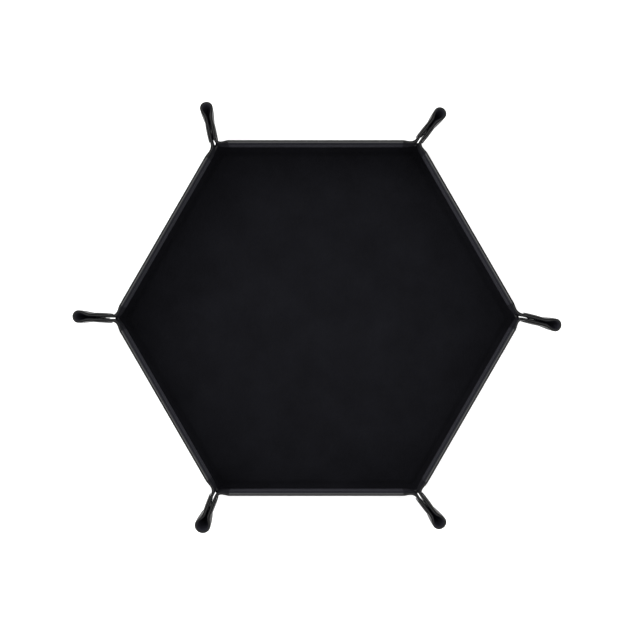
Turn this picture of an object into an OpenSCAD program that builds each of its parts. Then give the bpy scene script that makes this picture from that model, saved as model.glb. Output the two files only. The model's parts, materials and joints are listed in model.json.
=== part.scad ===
// Folding hexagonal dice tray. Six walls fold up from a stiffened floor, and at each corner the
// triangular gusset between two walls folds outward into an ear that a press stud holds shut.
// The tray is modelled snapped up, standing on z = 0, with its centre on the z axis.
// Wall 1 faces +Y and the others follow counter-clockwise; corner n lies between walls n and n + 1.

/* [Tray] */
// Distance from the centre to the velvet face of a wall
floor_apothem = 86.7; // [75:0.1:105]
// Height of a wall above the floor's velvet
wall_h = 34; // [32:0.5:42]
// Radius of the six corners of the sheet when it lies flat
tip_r = 14; // [6:1:16]

/* [Layers] */
// Thickness of the leather
leather_t = 0.75; // [0.5:0.05:1]
// Thickness of the velvet
velvet_t = 0.75; // [0.5:0.05:1]
// Thickness of the stiffening boards
board_t = 0.8; // [0.5:0.1:1.2]
// Margin between a board and the edge of its panel, where leather and velvet meet
margin = 4; // [3:0.5:6]

/* [Ears] */
// Space between the two velvet faces of a folded ear
ear_gap = 0.9; // [0.7:0.1:1.4]
// How far each ear leans from the corner's own direction, counter-clockwise from above
ear_lean = [-18, -3, 9, 7, -14, -8]; // [-18:1:18]
// Height at which the relief slit at the foot of each corner ends
slit_h = 8; // [6:0.5:10]
// Width of the strip of sheet that turns over at the fold of an ear
strip_w = 3; // [2.5:0.1:3.2]
// Clearance between two panels of one sheet that turn on different hinges
panel_gap = 0.3; // [0.2:0.05:0.5]
// Clearance round the turned strip, which shifts a little beside its ear half as the tray folds
strip_gap = 1; // [0.9:0.1:1.5]

/* [Press studs] */
// Diameter of the caps on the leather side
cap_d = 10; // [8:0.5:11]
// How far a cap stands out from the leather
cap_h = 0.6; // [0.4:0.1:1]
// Diameter of the socket and of the stud's flange
ring_d = 8; // [6:0.5:9]
// Distance of a stud outward from the foot of the ear
stud_out = 5; // [4.5:0.1:5.5]
// Height of a stud below the rim
stud_drop = 8; // [7.5:0.5:10]

/* [Hidden] */
$fn = 48;
CORNERS = [for (n = [1:6]) n];
panel_t = leather_t + board_t + velvet_t;
ear_t = leather_t + velvet_t;
neck_t = 2 * ear_t + ear_gap;
edge_half = floor_apothem * tan(30);
slack = 0.02;
corner_cut = 1.5;
shortest_crease = 0.3;
post_d = 2.6;
post_hole_d = 2.7;
ring_lift = 0.3;
ring_t = velvet_t + ring_lift;
socket_bore_d = 4.2;
socket_floor = 0.2;
ball_d = 3.2;
ball_h = 0.85;
rivet_d = 3.4;
rivet_h = 0.15;

// Where the two creases beside corner n stand. An ear can lean and still fold flat only if its
// creases move along their walls: left and right are how far each stops short of the corner.
function lean(n) = ear_lean[n - 1];
function crease_spread(n) = neck_t / (cos(lean(n)) - 0.5 * pow(sin(lean(n)), 2) / (1 - 0.5 * cos(lean(n))));
function crease_sum(n) = (crease_spread(n) - panel_t) / cos(30);
function crease_difference(n) = -crease_spread(n) * sin(lean(n)) / (1 - 0.5 * cos(lean(n)));
function crease_right(n) = (crease_sum(n) + crease_difference(n)) / 2;
function crease_left(n) = (crease_sum(n) - crease_difference(n)) / 2;
function before(n) = n == 1 ? 6 : n - 1;
function after(n) = n == 6 ? 1 : n + 1;

// Places children, drawn for a wall that faces +X, at wall n.
module at_wall(n) {
    rotate(30 + 60 * n) translate([floor_apothem, 0, panel_t]) children();
}

// Places children in the frame of an ear half: x = 0 is the outer leather face with the sheet on
// its -x side, y runs outward from the crease, z = 0 is the fold between wall and floor.
module at_left_half(n) {
    at_wall(n) translate([panel_t, edge_half - crease_left(n), 0])
        rotate(-(60 - lean(n))) children();
}

module at_right_half(n) {
    at_wall(after(n)) mirror([0, 1, 0]) translate([panel_t, edge_half - crease_right(n), 0])
        rotate(-(60 + lean(n))) children();
}

// Stands a drawing made in (along, up) on edge, from depth x0 to depth x1.
module on_edge(x0, x1) {
    translate([x0, 0, 0]) rotate([90, 0, 90]) linear_extrude(x1 - x0) children();
}

module hexagon(apothem) {
    rotate(30) circle(r = apothem / cos(30), $fn = 6);
}

// Outline of the floor, with its corners cut off square where the relief slits begin.
module floor_outline(inset) {
    edge = floor_apothem - panel_gap / 2 - inset;
    intersection() {
        rotate(30) hexagon(edge);
        hexagon(edge / cos(30) - corner_cut);
    }
}

// Outline of wall n between its two creases, from low to high, drawn in (along, up).
module wall_outline(n, side, low, high) {
    left_end = edge_half - max(crease_left(n), shortest_crease) - side;
    right_end = -edge_half + max(crease_right(before(n)), shortest_crease) + side;
    translate([right_end, low]) square([left_end - right_end, high - low]);
}

// Distance along an ear half of its fold at height z, for a half whose crease stops at short.
function fold_at(short, z) = short + z * tan(30);

// Outline of an ear half out to a line that lies inside the fold by cut, in (along, up).
module half_outline(short, cut) {
    side = cut / cos(30);
    centre = [fold_at(short, wall_h - tip_r), wall_h - tip_r];
    intersection() {
        polygon(concat(
            [[panel_gap / 2, panel_gap], [panel_gap / 2, wall_h]],
            [for (a = [90:-5:60]) centre + tip_r * [cos(a), sin(a)]],
            [[fold_at(short, panel_gap), panel_gap]]
        ));
        polygon([
            [-1, -1], [-1, wall_h + 1], [fold_at(short, wall_h + 1) - side, wall_h + 1],
            [fold_at(short, -1) - side, -1]
        ]);
    }
}

// The strip beside the fold, above the slit.
module strip_outline(short) {
    difference() {
        intersection() {
            half_outline(short, panel_gap / 2);
            translate([-1, slit_h]) square([60, wall_h]);
        }
        half_outline(short, strip_w);
    }
}

// The right half stops short of that strip; below the slit it reaches the fold.
module right_outline(short) {
    difference() {
        half_outline(short, panel_gap / 2);
        offset(delta = strip_gap) strip_outline(short);
    }
}

module stud_hole(short, d) {
    translate([fold_at(short, 0) + stud_out, wall_h - stud_drop]) circle(d = d);
}

// Places children with +z pointing from the velvet to the leather, on the axis of a stud, with
// z = 0 on the outer leather face.
module at_stud(short) {
    translate([0, fold_at(short, 0) + stud_out, wall_h - stud_drop]) rotate([0, 90, 0]) children();
}

// ---- floor ----
module floor_leather() {
    color("#17171a") linear_extrude(leather_t) floor_outline(0);
}

module floor_lining() {
    color("#0c0c0f") difference() {
        translate([0, 0, leather_t]) linear_extrude(board_t + velvet_t) floor_outline(0);
        translate([0, 0, leather_t - 1]) linear_extrude(board_t + 1) floor_outline(margin - slack);
    }
}

module floor_board() {
    color("#8a7a5c") translate([0, 0, leather_t]) linear_extrude(board_t) floor_outline(margin);
}

// ---- walls ----
module wall_leather(n) {
    color("#17171a") at_wall(n)
        on_edge(panel_t - leather_t, panel_t) wall_outline(n, 0, panel_gap / 2, wall_h);
}

module wall_lining(n) {
    color("#0c0c0f") at_wall(n) difference() {
        on_edge(0, velvet_t + board_t) wall_outline(n, 0, panel_gap / 2, wall_h);
        on_edge(velvet_t, panel_t)
            wall_outline(n, margin - slack, margin - slack, wall_h - margin + slack);
    }
}

module wall_board(n) {
    color("#8a7a5c") at_wall(n)
        on_edge(velvet_t, velvet_t + board_t) wall_outline(n, margin, margin, wall_h - margin);
}

// ---- ears ----
module ear_layers(short) {
    color("#17171a") on_edge(-leather_t, 0) difference() {
        children();
        stud_hole(short, post_hole_d);
    }
    color("#0c0c0f") on_edge(-ear_t, -leather_t) difference() {
        children();
        stud_hole(short, ring_d + 0.2);
    }
}

module ear_left(n) {
    at_left_half(n) ear_layers(crease_left(n)) half_outline(crease_left(n), panel_gap / 2);
}

module ear_right(n) {
    at_right_half(n) ear_layers(crease_right(n)) right_outline(crease_right(n));
}

module ear_fold(n) {
    at_right_half(n) {
        color("#17171a") on_edge(-leather_t, 0) strip_outline(crease_right(n));
        color("#0c0c0f") on_edge(-ear_t, -leather_t) strip_outline(crease_right(n));
    }
}

// ---- press studs ----
// Low dome on the leather with a hollow edge and a post through the sheet.
module cap(post_end, head) {
    rotate_extrude() polygon(concat(
        [[0, -post_end], [post_d / 2, -post_end], [post_d / 2, slack], [cap_d / 2, slack]],
        [for (k = [0:6]) [cap_d / 2 * cos(15 * k), slack + (cap_h - slack) * sin(15 * k)]]
    ));
    if (head) translate([0, 0, -post_end]) cylinder(d = rivet_d, h = rivet_h);
}

module snap_cap(n) {
    rivet_end = leather_t + socket_floor + slack + rivet_h;
    color("#101012") at_left_half(n) at_stud(crease_left(n)) cap(rivet_end, true);
}

module snap_socket(n) {
    color("#8f9296") at_left_half(n) at_stud(crease_left(n)) translate([0, 0, -leather_t - slack])
        mirror([0, 0, 1]) difference() {
            rotate_extrude() polygon([
                [0, 0], [ring_d / 2 - 0.3, 0], [ring_d / 2, 0.3],
                [ring_d / 2, ring_t - 0.5], [ring_d / 2 - 1, ring_t], [0, ring_t]
            ]);
            translate([0, 0, socket_floor]) cylinder(d = socket_bore_d, h = ring_t);
            translate([0, 0, -1]) cylinder(d = post_hole_d, h = ring_t + 1);
        }
}

module snap_stud(n) {
    back_post = leather_t + 0.7;
    color("#8f9296") at_right_half(n) at_stud(crease_right(n)) translate([0, 0, -leather_t - slack])
        mirror([0, 0, 1]) difference() {
            rotate_extrude() polygon([
                [0, 0], [ring_d / 2 - 0.3, 0], [ring_d / 2, 0.3], [ring_d / 2, ring_t - 0.5],
                [ring_d / 2 - 1, ring_t], [ball_d / 2 - 0.2, ring_t],
                [ball_d / 2, ring_t + 0.45], [ball_d / 2 - 0.4, ring_t + ball_h], [0, ring_t + ball_h]
            ]);
            translate([0, 0, -1]) cylinder(d = post_hole_d, h = 1.75);
        }
    color("#101012") at_right_half(n) at_stud(crease_right(n)) cap(back_post, false);
}

floor_leather();
floor_lining();
floor_board();
for (n = CORNERS) {
    wall_leather(n);
    wall_lining(n);
    wall_board(n);
    ear_left(n);
    ear_right(n);
    ear_fold(n);
    snap_cap(n);
    snap_socket(n);
    snap_stud(n);
}
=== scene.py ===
import json
import math

import bpy
import numpy as np
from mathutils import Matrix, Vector

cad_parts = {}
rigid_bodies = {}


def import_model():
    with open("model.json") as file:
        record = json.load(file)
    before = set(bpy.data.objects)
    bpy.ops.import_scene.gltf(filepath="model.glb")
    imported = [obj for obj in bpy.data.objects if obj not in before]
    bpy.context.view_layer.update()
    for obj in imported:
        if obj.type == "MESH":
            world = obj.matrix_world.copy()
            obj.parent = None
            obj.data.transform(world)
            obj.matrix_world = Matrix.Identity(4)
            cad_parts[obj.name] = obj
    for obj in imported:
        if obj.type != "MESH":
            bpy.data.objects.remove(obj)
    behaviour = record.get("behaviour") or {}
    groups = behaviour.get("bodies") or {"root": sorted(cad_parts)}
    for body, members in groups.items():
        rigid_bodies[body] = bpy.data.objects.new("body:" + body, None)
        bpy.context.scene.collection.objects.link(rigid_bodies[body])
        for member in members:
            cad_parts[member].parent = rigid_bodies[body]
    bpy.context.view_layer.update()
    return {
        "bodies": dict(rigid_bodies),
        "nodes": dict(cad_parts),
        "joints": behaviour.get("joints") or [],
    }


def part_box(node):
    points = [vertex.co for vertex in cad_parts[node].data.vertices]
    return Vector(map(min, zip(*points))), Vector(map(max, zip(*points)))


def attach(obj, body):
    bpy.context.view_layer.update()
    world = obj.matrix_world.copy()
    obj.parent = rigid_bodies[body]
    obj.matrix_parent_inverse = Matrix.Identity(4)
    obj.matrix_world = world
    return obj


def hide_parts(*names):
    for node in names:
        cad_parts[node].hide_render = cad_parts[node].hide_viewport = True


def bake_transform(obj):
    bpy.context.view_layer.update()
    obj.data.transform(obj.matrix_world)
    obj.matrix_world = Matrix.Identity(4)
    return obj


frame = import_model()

MM = 0.001
TAN30, COS30 = math.tan(math.pi / 6), math.cos(math.pi / 6)
CORNERS = range(1, 7)

# ---------------------------------------------------------------- the frame's own values
JOINTS = {j["name"]: j for j in frame["joints"]}


def turn(axis, angle):
    """3x3 rotation by angle radians about an axis."""
    x, y, z = np.array(axis, float) / np.linalg.norm(axis)
    k = np.array([[0, -z, y], [z, 0, -x], [-y, x, 0]])
    return np.eye(3) + math.sin(angle) * k + (1 - math.cos(angle)) * k @ k


def hinge(joint):
    """4x4 of a joint at its upper limit, where the tray lies flat."""
    m = np.eye(4)
    m[:3, :3] = turn(joint["axis"], math.radians(joint["range_deg"][1]))
    m[:3, 3] = np.array(joint["pos_m"]) - m[:3, :3] @ np.array(joint["pos_m"])
    return m


def flat_matrix(body):
    """4x4 of a body with every joint at its upper limit."""
    above = [j for j in frame["joints"] if j["child"] == body]
    return flat_matrix(above[0]["parent"]) @ hinge(above[0]) if above else np.eye(4)


FLAT = {body: flat_matrix(body) for body in frame["bodies"]}
fold = np.array(JOINTS["wall_fold_1"]["pos_m"])
APOTHEM, PANEL = math.hypot(fold[0], fold[1]), fold[2]
HALF = APOTHEM * TAN30
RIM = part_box("wall_leather_1")[1].z - PANEL
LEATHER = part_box("floor_leather")[1].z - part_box("floor_leather")[0].z
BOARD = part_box("floor_board")[1].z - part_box("floor_board")[0].z
VELVET = PANEL - LEATHER - BOARD
SEAM = LEATHER + VELVET
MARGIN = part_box("wall_leather_1")[1].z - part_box("wall_board_1")[1].z


def move(m, p):
    return p @ m[:3, :3].T + m[:3, 3]


def normal(n):
    a = math.radians(30 + 60 * n)
    return np.array([math.cos(a), math.sin(a)])


def tangent(n):
    return np.array([-normal(n)[1], normal(n)[0]])


def after(n):
    return n % 6 + 1


def smooth(t):
    t = np.clip(t, 0, 1)
    return t * t * (3 - 2 * t)


def axis_between(a, b):
    """Axis, angle, pivot and travel of the turn from body a to body b, in a's frame, tray flat."""
    rel = np.linalg.inv(FLAT[a]) @ FLAT[b]
    r, t = rel[:3, :3], rel[:3, 3]
    angle = math.acos(max(-1.0, min(1.0, (np.trace(r) - 1) / 2)))
    n = np.array([r[2, 1] - r[1, 2], r[0, 2] - r[2, 0], r[1, 0] - r[0, 1]])
    n = n / np.linalg.norm(n)
    along = (t @ n) * n
    pivot = np.linalg.lstsq(np.eye(3) - r, t - along, rcond=None)[0]
    return n, angle, pivot, along


def turned_back(flat, a, b, w):
    """Rest place of points that lie at flat with the tray open, for a share w of the turn."""
    n, angle, pivot, along = axis_between(a, b)
    p = move(np.linalg.inv(FLAT[a]), flat) - w[:, None] * along - pivot
    c, s = np.cos(-w * angle)[:, None], np.sin(-w * angle)[:, None]
    return pivot + p * c + np.cross(n, p) * s + n * (p @ n)[:, None] * (1 - c)


def folded(flat, a, b, start, end):
    """Rest place of points of a sheet that blend(a, b, start, end) lays exactly flat."""
    low, high = np.zeros(len(flat)), np.ones(len(flat))
    d = end - start
    for _ in range(32):
        w = (low + high) / 2
        rest = turned_back(flat, a, b, w)
        more = smooth((rest - start) @ d / (d @ d)) > w
        low, high = np.where(more, w, low), np.where(more, high, w)
    return turned_back(flat, a, b, (low + high) / 2)


# ---------------------------------------------------------------- mesh building
UNDER, OVER, SIDE = 0, 1, 2


def sheet_mesh(name, plan, low, high, rest, mask, materials):
    """A closed sheet over a grid of plan points (rows, columns, 2), between heights low and high.
    rest maps flat points to the rest pose, and mask says which cells of the grid are there.
    The second material is for the sides, where the sheet is cut."""
    rows, cols = plan.shape[:2]
    used = np.zeros((rows, cols), bool)
    for di in (0, 1):
        for dj in (0, 1):
            used[di : rows - 1 + di, dj : cols - 1 + dj] |= mask
    index = -np.ones((rows, cols), int)
    index[used] = np.arange(used.sum())
    count = int(used.sum())
    flat = np.concatenate(
        [
            np.column_stack([plan[used], low[used]]),
            np.column_stack([plan[used], high[used]]),
        ]
    )
    faces, kinds = [], []
    for i, j in np.argwhere(mask):
        a, b = index[i, j], index[i, j + 1]
        c, d = index[i + 1, j + 1], index[i + 1, j]
        faces.append((a, d, c, b))
        faces.append((count + a, count + b, count + c, count + d))
        kinds += [UNDER, OVER]
        for (p, q), (ni, nj) in (
            ((a, b), (i - 1, j)),
            ((b, c), (i, j + 1)),
            ((c, d), (i + 1, j)),
            ((d, a), (i, j - 1)),
        ):
            inside = 0 <= ni < rows - 1 and 0 <= nj < cols - 1 and mask[ni, nj]
            if not inside:
                faces.append((p, q, count + q, count + p))
                kinds.append(SIDE)
    turned = np.cross(
        np.append(plan[0, 1] - plan[0, 0], 0), np.append(plan[1, 0] - plan[0, 0], 0)
    )[2]
    if turned < 0:
        faces = [tuple(reversed(f)) for f in faces]
    mesh = bpy.data.meshes.new(name)
    mesh.from_pydata(rest(flat).tolist(), [], faces)
    for material in materials:
        mesh.materials.append(material)
    kinds = np.array(kinds)
    mesh.polygons.foreach_set("material_index", (kinds == SIDE).astype(np.int32))
    mesh.polygons.foreach_set("use_smooth", np.ones(len(faces), bool))
    layer = mesh.uv_layers.new(name="Pattern")
    loops = np.zeros(len(mesh.loops), np.int32)
    mesh.loops.foreach_get("vertex_index", loops)
    uv = flat[loops][:, :2].copy()
    of_face = np.repeat(np.arange(len(faces)), [len(f) for f in faces])
    side = kinds[of_face] == SIDE
    uv[side, 0] += uv[side, 1]
    uv[side, 1] = flat[loops][side, 2]
    layer.data.foreach_set("uv", uv.astype(np.float32).ravel())
    mesh.update()
    edge_kind = {}
    for f, kind in zip(faces, kinds):
        for p, q in zip(f, f[1:] + f[:1]):
            edge_kind.setdefault((min(p, q), max(p, q)), set()).add(int(kind))
    sharp = [len(edge_kind[tuple(sorted(e.vertices))]) > 1 for e in mesh.edges]
    mesh.attributes.new("sharp_edge", "BOOLEAN", "EDGE").data.foreach_set("value", sharp)
    obj = bpy.data.objects.new(name, mesh)
    bpy.context.scene.collection.objects.link(obj)
    area = sum(
        abs(
            np.cross(
                plan[i + 1, j + 1] - plan[i, j], plan[i + 1, j] - plan[i, j + 1]
            )
        )
        / 2
        for i, j in np.argwhere(mask)
    )
    return obj, area


def lathe(name, profile, place, material, steps=64):
    """Turned piece. profile is (radius, height) points: pole to pole if it starts at radius 0,
    and otherwise a closed ring. place maps the points to the rest pose."""
    ring = np.array(profile, float)
    closed = ring[0, 0] > 0
    body = ring if closed else ring[1:-1]
    turns = np.linspace(0, 2 * math.pi, steps, endpoint=False)
    verts = [(r * math.cos(a), r * math.sin(a), h) for a in turns for r, h in body]
    n, faces = len(body), []
    for k in range(steps):
        this, following = k * n, (k + 1) % steps * n
        for i in range(n if closed else n - 1):
            j = (i + 1) % n
            faces.append((this + i, following + i, following + j, this + j))
        if not closed:
            faces.append((steps * n, following, this))
            faces.append((steps * n + 1, this + n - 1, following + n - 1))
    if not closed:
        verts += [(0, 0, ring[0, 1]), (0, 0, ring[-1, 1])]
    mesh = bpy.data.meshes.new(name)
    mesh.from_pydata(place(np.array(verts)).tolist(), [], faces)
    mesh.materials.append(material)
    mesh.polygons.foreach_set("use_smooth", np.ones(len(faces), bool))
    mesh.update()
    obj = bpy.data.objects.new(name, mesh)
    bpy.context.scene.collection.objects.link(obj)
    return obj


# ---------------------------------------------------------------- materials
class Look:
    """A procedural material, built node by node."""

    def __init__(self, name, **sockets):
        self.material = bpy.data.materials.new(name)
        self.material.use_nodes = True
        self.tree = self.material.node_tree
        self.shader = self.tree.nodes["Principled BSDF"]
        for key, value in sockets.items():
            self.shader.inputs[key.replace("_", " ")].default_value = value

    def node(self, kind, links=(), **values):
        made = self.tree.nodes.new(kind)
        for key, value in values.items():
            if hasattr(made, key):
                setattr(made, key, value)
            else:
                made.inputs[key.replace("_", " ")].default_value = value
        for socket, source in dict(links).items():
            self.tree.links.new(source, made.inputs[socket])
        return made

    def ramp(self, source, stops):
        made = self.node("ShaderNodeValToRGB", {"Fac": source})
        ends = made.color_ramp.elements
        while len(ends) < len(stops):
            ends.new(0.5)
        for end, (place, colour) in zip(ends, stops):
            end.position = place
            end.color = (*colour, 1) if len(colour) == 3 else colour
        return made.outputs["Color"]

    def to(self, socket, source):
        self.tree.links.new(source, self.shader.inputs[socket])

    def bump(self, height, distance, strength=1.0, under=None):
        links = {"Height": height}
        if under is not None:
            links["Normal"] = under
        made = self.node("ShaderNodeBump", links, Distance=distance, Strength=strength)
        return made.outputs["Normal"]


def grey(v, cool=0.0):
    """A grey of brightness v, towards blue by cool."""
    return (v, v * (1 + cool), v * (1 + 2 * cool))


def leather_look():
    """Pebbled black leather, with slow wear in its tone."""
    look = Look("black_leather", Specular_IOR_Level=0.22)
    at = look.node("ShaderNodeTexCoord").outputs["UV"]
    cells = look.node("ShaderNodeTexVoronoi", {"Vector": at}, Scale=1250.0, feature="SMOOTH_F1")
    pores = look.node("ShaderNodeTexNoise", {"Vector": at}, Scale=3200.0, Detail=4.0)
    wear = look.node("ShaderNodeTexNoise", {"Vector": at}, Scale=70.0, Detail=5.0)
    worn = look.ramp(wear.outputs["Fac"], [(0.3, grey(0.0075)), (0.75, grey(0.015, 0.03))])
    look.to("Base Color", worn)
    look.to("Roughness", look.ramp(pores.outputs["Fac"], [(0.2, grey(0.38)), (0.8, grey(0.62))]))
    first = look.bump(pores.outputs["Fac"], 0.06 * MM, 0.6)
    look.to("Normal", look.bump(cells.outputs["Distance"], 0.16 * MM, 0.8, first))
    return look.material


def velvet_look(name, sheen, backing=1.0):
    """Velvet. backing lightens the cloth by multiplying its base colour, which is painted light: it
    lifts the loop's velvet where it lies in shade.
    """
    look = Look(
        name,
        Specular_IOR_Level=0.08,
        Roughness=0.95,
        Sheen_Weight=sheen,
        Sheen_Roughness=0.5,
    )
    at = look.node("ShaderNodeTexCoord").outputs["UV"]
    nap = look.node("ShaderNodeTexNoise", {"Vector": at}, Scale=45.0, Detail=5.0, Roughness=0.6)
    fibre = look.node("ShaderNodeTexNoise", {"Vector": at}, Scale=5200.0, Detail=3.0)
    rib = look.node("ShaderNodeTexWave", {"Vector": at}, Scale=320.0, Distortion=3.0, Detail=2.0)
    # backing scales both stops of the base colour; above 1 this is painted light
    dark = [backing * v for v in (0.0029, 0.0029, 0.0041)]
    light = [backing * v for v in (0.0053, 0.0054, 0.0073)]
    look.to("Base Color", look.ramp(nap.outputs["Fac"], [(0.3, dark), (0.72, light)]))
    tips = [(0.25, (0.03, 0.03, 0.038)), (0.75, (0.13, 0.13, 0.155))]
    look.to("Sheen Tint", look.ramp(fibre.outputs["Fac"], tips))
    first = look.bump(rib.outputs["Fac"], 0.08 * MM, 0.35)
    look.to("Normal", look.bump(fibre.outputs["Fac"], 0.22 * MM, 0.9, first))
    return look.material


def edge_look(name, dark, light, scale, backing=None):
    """A cut edge. With a backing, its lower third is woven cloth and the rest is dark pile."""
    look = Look(name, Roughness=0.9, Specular_IOR_Level=0.1)
    at = look.node("ShaderNodeTexCoord").outputs["UV"]
    fibre = look.node("ShaderNodeTexNoise", {"Vector": at}, Scale=scale, Detail=4.0, Roughness=0.7)
    colour = look.ramp(fibre.outputs["Fac"], [(0.3, grey(dark)), (0.7, grey(light))])
    if backing:
        height = look.node("ShaderNodeSeparateXYZ", {"Vector": at}).outputs["Y"]
        share = look.node("ShaderNodeMapRange", {"Value": height})
        share.inputs["From Min"].default_value = LEATHER
        share.inputs["From Max"].default_value = SEAM
        woven = look.ramp(fibre.outputs["Fac"], [(0.3, grey(backing * 0.6)), (0.7, grey(backing))])
        part = look.ramp(share.outputs["Result"], [(0.3, grey(0)), (0.45, grey(1))])
        mix = look.node("ShaderNodeMix", data_type="RGBA")
        look.tree.links.new(part, mix.inputs[0])
        look.tree.links.new(woven, mix.inputs[6])
        look.tree.links.new(colour, mix.inputs[7])
        colour = mix.outputs[2]
    look.to("Base Color", colour)
    look.to("Normal", look.bump(fibre.outputs["Fac"], 0.1 * MM, 0.7))
    return look.material


def solid_look(name, dark, light, scale, rough, bump, **sockets):
    """Metal, lacquer, board or paper: one grain drives colour, roughness and bump."""
    look = Look(name, **sockets)
    at = look.node("ShaderNodeTexCoord").outputs["Object"]
    grain = look.node("ShaderNodeTexNoise", {"Vector": at}, Scale=scale, Detail=5.0, Roughness=0.6)
    look.to("Base Color", look.ramp(grain.outputs["Fac"], [(0.3, dark), (0.7, light)]))
    shine = look.ramp(grain.outputs["Fac"], [(0.25, grey(rough[0])), (0.8, grey(rough[1]))])
    look.to("Roughness", shine)
    look.to("Normal", look.bump(grain.outputs["Fac"], bump, 0.5))
    return look.material


leather = leather_look()
velvet = velvet_look("black_velvet", 0.8)
# painted shade: a copy of the same velvet with less sheen, darkening the ears' velvet near the
# corners, where shade falls
ear_velvet = velvet_look("black_velvet_brushed_in", 0.3)
# painted light: the loop's velvet gets 3.6 times the base colour, standing in for light in the
# shaded inside of the ear's loop
painted_light_velvet = velvet_look("black_velvet_crushed", 0.3, 3.6)
leather_cut = edge_look("leather_cut_edge", 0.0015, 0.005, 3000.0)
# painted sheen: the walls' velvet cut edge is light grey (0.04 to 0.1), far lighter than the dark
# pile on the ear's cut edge, standing in for the light the rim band catches
painted_sheen_cut = edge_look("velvet_cut_edge", 0.04, 0.1, 2600.0)
ear_cut = edge_look("ear_cut_edge", 0.001, 0.003, 2600.0, 0.045)
lacquer = solid_look(
    "cap_lacquer", grey(0.004), grey(0.008), 900.0, (0.14, 0.26), 0.01 * MM,
    Specular_IOR_Level=0.45,
)
nickel = solid_look(
    "stud_nickel", grey(0.45), grey(0.6), 1500.0, (0.2, 0.36), 0.01 * MM, Metallic=1.0
)
card = solid_look(
    "grey_board", (0.2, 0.15, 0.09), (0.3, 0.23, 0.14), 1200.0, (0.8, 0.95), 0.05 * MM
)

# ---------------------------------------------------------------- flat pattern
TIP_R = 14 * MM  # rounded corner of the open sheet
FOLD_IN, FOLD_OUT = 1.8 * MM, 2.2 * MM  # reach of a wall's fold, either side of its hinge
FLOOR_IN = 6 * MM  # edge of the floor that is cut with the wall
# slopes off the board: at the fold, and at the rim and ends, which stay flat at their edge
STEP_RUN, SLOPE_RUN, RIM_FLAT, END_FLAT = 1.8 * MM, 3.0 * MM, 0.9 * MM, 1.0 * MM
RIM_DROP, RIM_ROUND = 0.22 * MM, 0.4 * MM  # rounding of the cut rim
PINCH, PINCH_AT, PINCH_WIDE = 0.12 * MM, 2.5 * MM, 0.7 * MM  # pressed line inside the rim
# how far a wall's fold reaches past the floor's corner, and over what length it gets there
TONGUE, TONGUE_RUN = {"leather": 1.25 * MM, "velvet": 0.5 * MM}, 2.4 * MM
CREASE_IN, CREASE_OUT = 5.5 * MM, 4.6 * MM  # reach of the bend from a wall into an ear
# top of the relief slit, up the diagonal, and half its gap
SLIT_TOP = {1: 3.4 * MM, 2: 5.0 * MM, 3: 6.6 * MM, 4: 6.4 * MM, 5: 7.4 * MM, 6: 6 * MM}
SLIT_GAP = 0.15 * MM
# round end of each ear's loop at the rim, and the length of its tail at the foot and the rim
LOOP_RADIUS = {1: 2.65 * MM, 2: 2.6 * MM, 3: 3.4 * MM, 4: 2.95 * MM, 5: 2.65 * MM, 6: 2.65 * MM}
LOOP_TAIL = (1.8 * MM, 5.6 * MM)
LOOP_SWELL = (9 * MM, 27 * MM)  # where the loop starts to swell, and over what length
# width of the strip that turns, at the foot and the rim, and where it widens
LOOP_WIDE, LOOP_FOOT, LOOP_RISE = 7 * MM, 2.8 * MM, (9 * MM, 25 * MM)
# how far an ear laps down over the wall past its crease, and where that begins and ends
FOOT_DROP, FOOT_LEAD, FOOT_RUN = 1.8 * MM, 0.1 * MM, 0.9 * MM
LOOPS = {}  # loop profiles that are already worked out


def steps(*parts):
    """Grid lines: pairs of (value, number of cells before it), after a first value."""
    line = [parts[0]]
    for value, cells in parts[1:]:
        line += list(np.linspace(line[-1], value, cells + 1)[1:])
    return np.array(line)


def place(n, side, x, c):
    """Plan point x outside the fold of wall n and c along it, towards a corner on that side."""
    return (APOTHEM + x)[..., None] * normal(n) + (side * c)[..., None] * tangent(n)


def crease(n, side):
    """Distance along the wall, from its middle, of the crease at its end on that side."""
    if side > 0:
        return float(np.array(JOINTS[f"left_crease_{n}"]["pos_m"])[:2] @ tangent(n))
    corner = n - 1 if n > 1 else 6
    return -float(np.array(JOINTS[f"right_crease_{corner}"]["pos_m"])[:2] @ tangent(n))


def thickness(x, c, ends):
    """How far the velvet is raised by the board under it, as a share of the board."""
    up = smooth((x - FOLD_OUT) / STEP_RUN) * smooth((RIM - RIM_FLAT - x) / SLOPE_RUN)
    floor_side = smooth((-x - FOLD_OUT) / STEP_RUN)
    across = smooth((ends - END_FLAT - abs(c)) / SLOPE_RUN)
    return up * across + floor_side


def layers(x, c, ends, rim_distance):
    """Heights of the leather's two faces and the velvet's two faces."""
    raised = BOARD * thickness(x, c, ends)
    drop = RIM_DROP * (1 - smooth(rim_distance / RIM_ROUND))
    pinch = PINCH * np.exp(-(((rim_distance - PINCH_AT) / PINCH_WIDE) ** 2))
    under = np.zeros_like(x) + drop * 0.6
    return under, np.full_like(x, LEATHER), LEATHER + raised, SEAM + raised - drop - pinch


def both_layers(name, plan, heights, rest, mask=None, cut=painted_sheen_cut, pile=velvet):
    """The leather and the velvet of one panel: pairs of piece, flat area and plan. The plan is
    the same for both, or one for each in a dict."""
    made = []
    plans = plan if isinstance(plan, dict) else {"leather": plan, "velvet": plan}
    cells = np.array(plans["leather"].shape[:2]) - 1
    mask = np.ones(cells, bool) if mask is None else mask
    for layer, looks, low, high in (
        ("leather", (leather, leather_cut), heights[0], heights[1]),
        ("velvet", (pile, cut), heights[2], heights[3]),
    ):
        obj, area = sheet_mesh(f"{name}_{layer}", plans[layer], low, high, rest, mask, looks)
        made.append((obj, area, plans[layer]))
    return made


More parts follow.
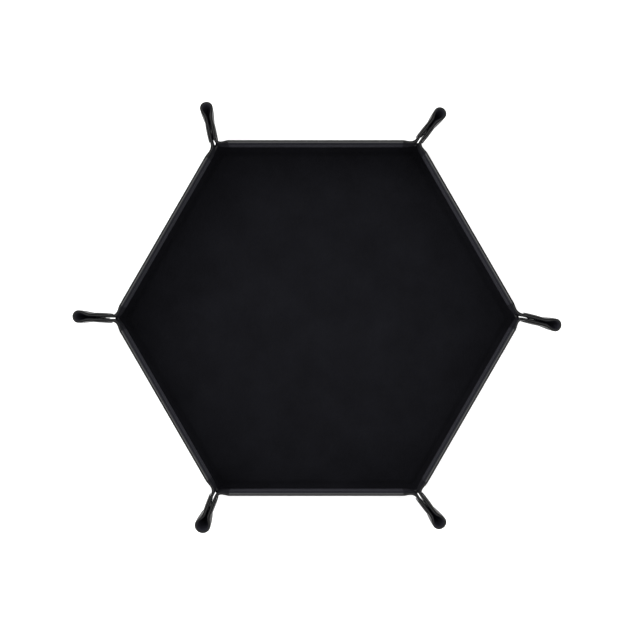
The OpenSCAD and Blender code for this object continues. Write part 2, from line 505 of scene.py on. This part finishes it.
# ---------------------------------------------------------------- floor
def floor_pieces():
    inner = APOTHEM - FLOOR_IN
    rows = np.linspace(-inner, inner, 41)
    shares = np.linspace(-1, 1, 47)
    plan = np.zeros((len(rows), len(shares), 2))
    for i, y in enumerate(rows):
        half_row = inner / COS30 - abs(y) * TAN30
        plan[i] = np.column_stack([shares * half_row, np.full(len(shares), y)])
    top = np.full(plan.shape[:2], PANEL)
    heights = (top * 0, top * 0 + LEATHER, top * 0 + LEATHER + BOARD, top)
    made = both_layers("floor_sheet", plan, heights, lambda p: p)
    for (obj, _, _), node in zip(made, ("floor_leather", "floor_lining")):
        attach(obj, "floor")
        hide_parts(node)


# ---------------------------------------------------------------- walls
def foot_edge(c, at):
    """Lower edge of an ear's sheet at c, out from the fold. It laps the wall past the crease."""
    return FOLD_OUT - FOOT_DROP * smooth((c - at - FOOT_LEAD) / FOOT_RUN)


def wall_pieces(n):
    ends = {s: crease(n, s) for s in (1, -1)}
    inner = {s: ends[s] - CREASE_IN for s in (1, -1)}
    rows = steps(
        -FLOOR_IN, (-2.2 * MM, 4), (2.2 * MM, 14), (4.4 * MM, 5), (RIM - 4.2 * MM, 9),
        (RIM - 2.4 * MM, 6), (RIM - 0.4 * MM, 4), (RIM, 3),
    )
    split = int(np.argmin(abs(rows - FOLD_OUT)))
    middle = steps(-inner[-1], (-inner[-1] + 2.5 * MM, 4), (inner[1] - 2.5 * MM, 30), (inner[1], 4))
    shares = np.linspace(0, 1, 9)[1:]
    plans = {}
    for layer in ("velvet", "leather"):
        along = np.zeros((len(rows), len(middle) + 16))
        for i, x in enumerate(rows):
            past = TONGUE[layer] * float(smooth((x + FOLD_IN) / TONGUE_RUN))
            reach = (APOTHEM + min(x, 0)) * TAN30 + past
            right = -(inner[-1] + shares[::-1] * (reach - inner[-1]))
            left = inner[1] + shares * (reach - inner[1])
            along[i] = np.concatenate([right, middle, left])
        x = np.repeat(rows[:, None], along.shape[1], 1)
        plans[layer] = place(n, 1, x, along)
    heights = layers(x, along, np.where(along > 0, ends[1], ends[-1]), RIM - x)
    mask = np.ones((len(rows) - 1, along.shape[1] - 1), bool)
    mask[split:, :8] = False
    mask[split:, -8:] = False
    n3 = np.append(normal(n), 0)
    start = n3 * (APOTHEM - FOLD_IN) + [0, 0, PANEL]
    end = n3 * APOTHEM + [0, 0, PANEL + FOLD_OUT]
    bodies = ("floor", f"wall_{n}")
    made = both_layers(
        f"wall_sheet_{n}", plans, heights, lambda p: folded(p, *bodies, start, end), mask
    )
    for (obj, _, _), node in zip(made, (f"wall_leather_{n}", f"wall_lining_{n}")):
        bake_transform(obj)
        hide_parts(node)


# ---------------------------------------------------------------- ears
def rim_of(c):
    """Height of the rounded rim above the fold, along a wall's line."""
    bent = HALF + (RIM - TIP_R) * TAN30
    over = np.clip(c - bent, 0, TIP_R * 0.5)
    return RIM - TIP_R + np.sqrt(TIP_R**2 - over**2)


def loop_width(v):
    """How far from the line of the fold its turn begins, at v along that line."""
    return LOOP_FOOT + (LOOP_WIDE - LOOP_FOOT) * smooth((v - LOOP_RISE[0]) / LOOP_RISE[1])


def foot_bottom(inboard, at):
    """Lower edge of the ear's foot, out from the wall's fold, inboard of the slit."""
    x = FOLD_OUT
    for _ in range(40):
        x = (x + float(foot_edge(HALF + x * TAN30 - inboard / COS30, at))) / 2
    return x


def ear_half(n, wall, side):
    """The half of ear n that hangs on a wall, up to the turn of its fold."""
    label = "left" if side > 0 else "right"
    bodies = (f"wall_{wall}", f"gusset_{label}_{n}")
    at = crease(wall, side)
    first = at - CREASE_IN
    # the last column ends where the turn of the fold meets the rounded rim
    tip = (RIM - TIP_R) / COS30 + math.sqrt(TIP_R**2 - LOOP_WIDE**2)
    last = HALF + tip * 0.5 - LOOP_WIDE * COS30
    border = np.linspace(-2 * MM, tip, 400)
    border_c = HALF + 0.5 * border - loop_width(border) * COS30
    border_x = COS30 * border + 0.5 * loop_width(border)
    knee = HALF + foot_bottom(LOOP_FOOT, at) * TAN30 - LOOP_FOOT / COS30
    lines = steps(first, (knee, 10), (max(at, knee) + CREASE_OUT, 12), (last, 14))
    plan, x, c = [], [], []
    for line in lines:
        low = max(float(foot_edge(line, at)), float(np.interp(line, border_c, border_x)))
        high = float(rim_of(np.array(line)))
        high = max(high, low + 0.05 * MM)
        share = steps(0, (0.86, 20), (1.0, 8))
        x.append(low + share * (high - low))
        c.append(np.full(len(share), line))
    x, c = np.array(x).T, np.array(c).T
    plan = place(wall, side, x, c)
    heights = layers(x, c, at, rim_of(c) - x)
    pos = np.array(JOINTS[f"{label}_crease_{n}"]["pos_m"])
    t3 = side * np.append(tangent(wall), 0)
    outward = move(np.linalg.inv(FLAT[bodies[1]]), np.array([[0.0, 0, 0], t3]))
    ear_way = outward[1] - outward[0]
    ear_way[2] = 0
    ear_way = ear_way / np.linalg.norm(ear_way)
    start, end = pos - t3 * CREASE_IN, pos + ear_way * CREASE_OUT

    def rest(flat):
        return folded(flat, *bodies, start, end)

    looks = (None, ear_cut, ear_velvet)
    made = both_layers(f"ear_{label}_sheet_{n}", plan, heights, rest, *looks)
    # the foot of the half, beside the relief slit
    u = steps(-LOOP_FOOT, (-SLIT_GAP, 10))
    foot_plan = np.zeros((11, len(u), 2))
    for j, uu in enumerate(u):
        bottom = (foot_bottom(-uu, at) + 0.5 * uu) / COS30
        for i, v in enumerate(np.linspace(bottom, SLIT_TOP[n], 11)):
            foot_plan[i, j] = diagonal(wall, side, uu, v)
    foot_x = foot_plan @ normal(wall) - APOTHEM
    foot_c = foot_plan @ tangent(wall) * side
    foot_heights = layers(foot_x, foot_c, at, RIM - foot_x)
    feet = both_layers(f"ear_{label}_foot_{n}", foot_plan, foot_heights, rest, *looks)
    for obj, _, _ in made + feet:
        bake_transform(obj)
        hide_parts(f"ear_{label}_{n}")
    return made, feet


def diagonal(wall, side, u, v):
    """Plan point v out along the diagonal from the floor's corner and u across it, -u inboard."""
    along = 0.5 * v + u * COS30
    out = COS30 * v - 0.5 * u
    return (APOTHEM + out) * normal(wall) + side * (HALF + along) * tangent(wall)


def turn_share(u, neck, radius, tail_length):
    """Share of the turn at a distance u from the fold, for a loop that swells from the neck's
    half width to a round end of that radius. Distance from the fold's line never changes."""
    key = (round(neck, 7), round(radius, 6))
    if key not in LOOPS:
        centre = radius - neck
        around = np.linspace(0, math.pi / 2, 40)
        tail = np.linspace(0, 1, 60)
        rest_u = np.concatenate([radius * np.cos(around) - centre, -centre - tail_length * tail])
        narrowing = neck + (radius - neck) * (1 - smooth(tail))
        rest_q = np.concatenate([radius * np.sin(around), narrowing])
        from_fold = np.hypot(rest_u, rest_q)
        flat_u = np.sqrt(np.maximum(from_fold**2 - neck**2, 0))
        share = (np.arctan2(neck, -flat_u) - np.arctan2(rest_q, rest_u)) / math.pi
        order = np.argsort(flat_u)
        LOOPS[key] = (flat_u[order], np.clip(share[order], 0, 0.5))
    return float(np.interp(u, *LOOPS[key], right=0))


def loop_half(n, wall, side):
    """One side of the turn over the fold of ear n, from the flat half to the fold's line."""
    label = "left" if side > 0 else "right"
    bodies = (f"gusset_left_{n}", f"turn_{n}")
    wide = LOOP_RADIUS[n]
    across = steps(-1, (-0.57, 6), (0, 16))
    share = steps(0, (0.9, 20), (0.985, 5), (1.0, 3))
    v = np.full((len(share), len(across)), RIM)
    for _ in range(30):
        uu = across * loop_width(v)
        top = (RIM - TIP_R) / COS30 + np.sqrt(TIP_R**2 - uu**2)
        v = (v + SLIT_TOP[n] + share[:, None] * (top - SLIT_TOP[n])) / 2
    x, c = COS30 * v - 0.5 * uu, HALF + 0.5 * v + uu * COS30
    plan = place(wall, side, x, c)
    heights = layers(x, c, crease(wall, side), top - v)
    middle = (FLAT[bodies[0]] @ np.append(JOINTS[f"ear_turn_{n}"]["pos_m"], 1))[2] - SEAM / 2
    grown = smooth((v - LOOP_SWELL[0]) / LOOP_SWELL[1]) ** 1.2
    w = np.zeros_like(uu)
    for i, j in np.ndindex(*uu.shape):
        g = grown[i, j]
        tail = LOOP_TAIL[0] + g * (LOOP_TAIL[1] - LOOP_TAIL[0])
        w[i, j] = turn_share(-uu[i, j], middle, middle + g * (wide - middle), tail)
    w = w if side > 0 else 1 - w
    both = np.concatenate([w.ravel(), w.ravel()])
    # the loop's pieces take the lightened velvet: painted light inside the shaded loop
    made = both_layers(
        f"ear_{label}_turn_{n}", plan, heights, lambda p: turned_back(p, *bodies, both),
        None, ear_cut, painted_light_velvet,
    )
    joint = JOINTS[f"ear_turn_{n}"]
    foot = np.array(joint["pos_m"])
    d = -np.array(joint["axis"])
    level = np.array([d[0], d[1], 0])
    out = level / np.linalg.norm(level)
    out = out - (out @ d) * d
    out = out / np.linalg.norm(out)
    depth = (FLAT[bodies[0]] @ np.append(foot, 1))[2]
    for (obj, _, _), middle in zip(made, (depth - LEATHER / 2, depth - LEATHER - VELVET / 2)):
        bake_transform(obj)
        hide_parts(f"ear_fold_{n}")
    return made


def ears(n):
    for wall, side in ((n, 1), (after(n), -1)):
        made, feet = ear_half(n, wall, side)
        loop = loop_half(n, wall, side)


# ---------------------------------------------------------------- press studs
def arc(cx, cy, r, a0, a1, count):
    return [
        (cx + r * math.cos(math.radians(a)), cy + r * math.sin(math.radians(a)))
        for a in np.linspace(a0, a1, count)
    ]


def press_stud(n):
    """Caps on both leather faces, with the socket and the stud between the layers."""
    for label, wall, side in (("left", n, 1), ("right", after(n), -1)):
        body = f"gusset_{label}_{n}"
        node = f"snap_socket_{n}" if side > 0 else f"snap_stud_{n}"
        low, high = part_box(node)
        at = move(FLAT[body], np.array([(low + high) / 2]))[0]
        back = np.linalg.inv(FLAT[body])

        def to_rest(p, at=at, back=back):
            return move(back, p + [at[0], at[1], 0])

        mm = lambda ring: [(r * MM, h * MM) for r, h in ring]
        cap = mm(
            [(0, 0.06), (4.6, 0.06), (4.78, -0.02)]
            + arc(4.8, -0.2, 0.2, 50, -80, 7)
            + [(4.55, -0.42), (4.35, -0.4), (4.1, -0.46), (3.4, -0.54), (2.3, -0.6), (1.1, -0.63)]
            + [(0, -0.64)]
        )
        piece = lathe(f"cap_{label}_{n}", cap, to_rest, lacquer, 72)
        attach(piece, body)
        if side > 0:
            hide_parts(f"snap_cap_{n}")
            inner = mm(
                [(1.4, 0.78), (3.7, 0.78), (4.0, 1.0), (4.0, 1.4), (3.8, 1.68), (3.3, 1.8)]
                + [(2.5, 1.8), (2.2, 1.7), (2.1, 1.5), (2.1, 1.0), (1.4, 0.98)]
            )
        else:
            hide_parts(f"snap_stud_{n}")
            inner = mm(
                [(0, 0.78), (3.7, 0.78), (4.0, 1.0), (4.0, 1.4), (3.8, 1.68), (3.3, 1.8)]
                + [(1.5, 1.82), (1.4, 1.95)]
                + arc(1.25, 2.25, 0.35, -40, 80, 7)
                + [(0.9, 2.65), (0, 2.68)]
            )
        metal = lathe(f"{'socket' if side > 0 else 'stud'}_{n}", inner, to_rest, nickel)
        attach(metal, body)
        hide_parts(node)


floor_pieces()
for n in CORNERS:
    wall_pieces(n)
for n in CORNERS:
    ears(n)
    press_stud(n)
for name, node in frame["nodes"].items():
    if "board" in name:
        node.data.materials.clear()
        node.data.materials.append(card)
    else:
        node.data.materials.clear()
        node.data.materials.append(leather)

# ---------------------------------------------------------------- studio
FLOOR_SIDE, FLOOR_GAP = 3.0, 0.4 * MM
floor_mesh = bpy.data.meshes.new("studio_floor")
square = ((-1, -1), (1, -1), (1, 1), (-1, 1))
corners = [(x * FLOOR_SIDE, y * FLOOR_SIDE, -FLOOR_GAP) for x, y in square]
floor_mesh.from_pydata(corners, [], [(0, 1, 2, 3)])
paper = solid_look(
    "paper", grey(0.86), grey(0.9), 30.0, (0.85, 0.95), 0.01 * MM,
    Specular_IOR_Level=0.1, Emission_Color=(1, 1, 1, 1), Emission_Strength=0.45,
)
floor_mesh.materials.append(paper)
studio_floor = bpy.data.objects.new("studio_floor", floor_mesh)
bpy.context.scene.collection.objects.link(studio_floor)

world = bpy.data.worlds.new("studio")
bpy.context.scene.world = world
world.use_nodes = True
world.node_tree.nodes["Background"].inputs["Color"].default_value = (1, 1, 1, 1)
world.node_tree.nodes["Background"].inputs["Strength"].default_value = 1.15


def light(name, place, size, power, target=(0, 0, 0)):
    data = bpy.data.lights.new(name, "AREA")
    data.shape = "DISK"
    data.size = size
    data.energy = power
    obj = bpy.data.objects.new(name, data)
    bpy.context.scene.collection.objects.link(obj)
    obj.location = place
    way = Vector(target) - Vector(place)
    obj.rotation_euler = way.to_track_quat("-Z", "Y").to_euler()


light("key", (-0.9, 0.5, 1.2), 0.9, 8)
light("fill", (1.0, -0.4, 1.3), 1.2, 3)
light("top", (0.0, 0.9, 1.6), 1.0, 3)

camera = bpy.data.cameras.new("camera")
camera.lens = 213.75
camera.clip_end = 10
shot = bpy.data.objects.new("camera", camera)
bpy.context.scene.collection.objects.link(shot)
shot.location = (1.35 * MM, -1 * MM, RIM + PANEL + 1.9)
bpy.context.scene.camera = shot
bpy.context.scene.view_settings.view_transform = "Standard"
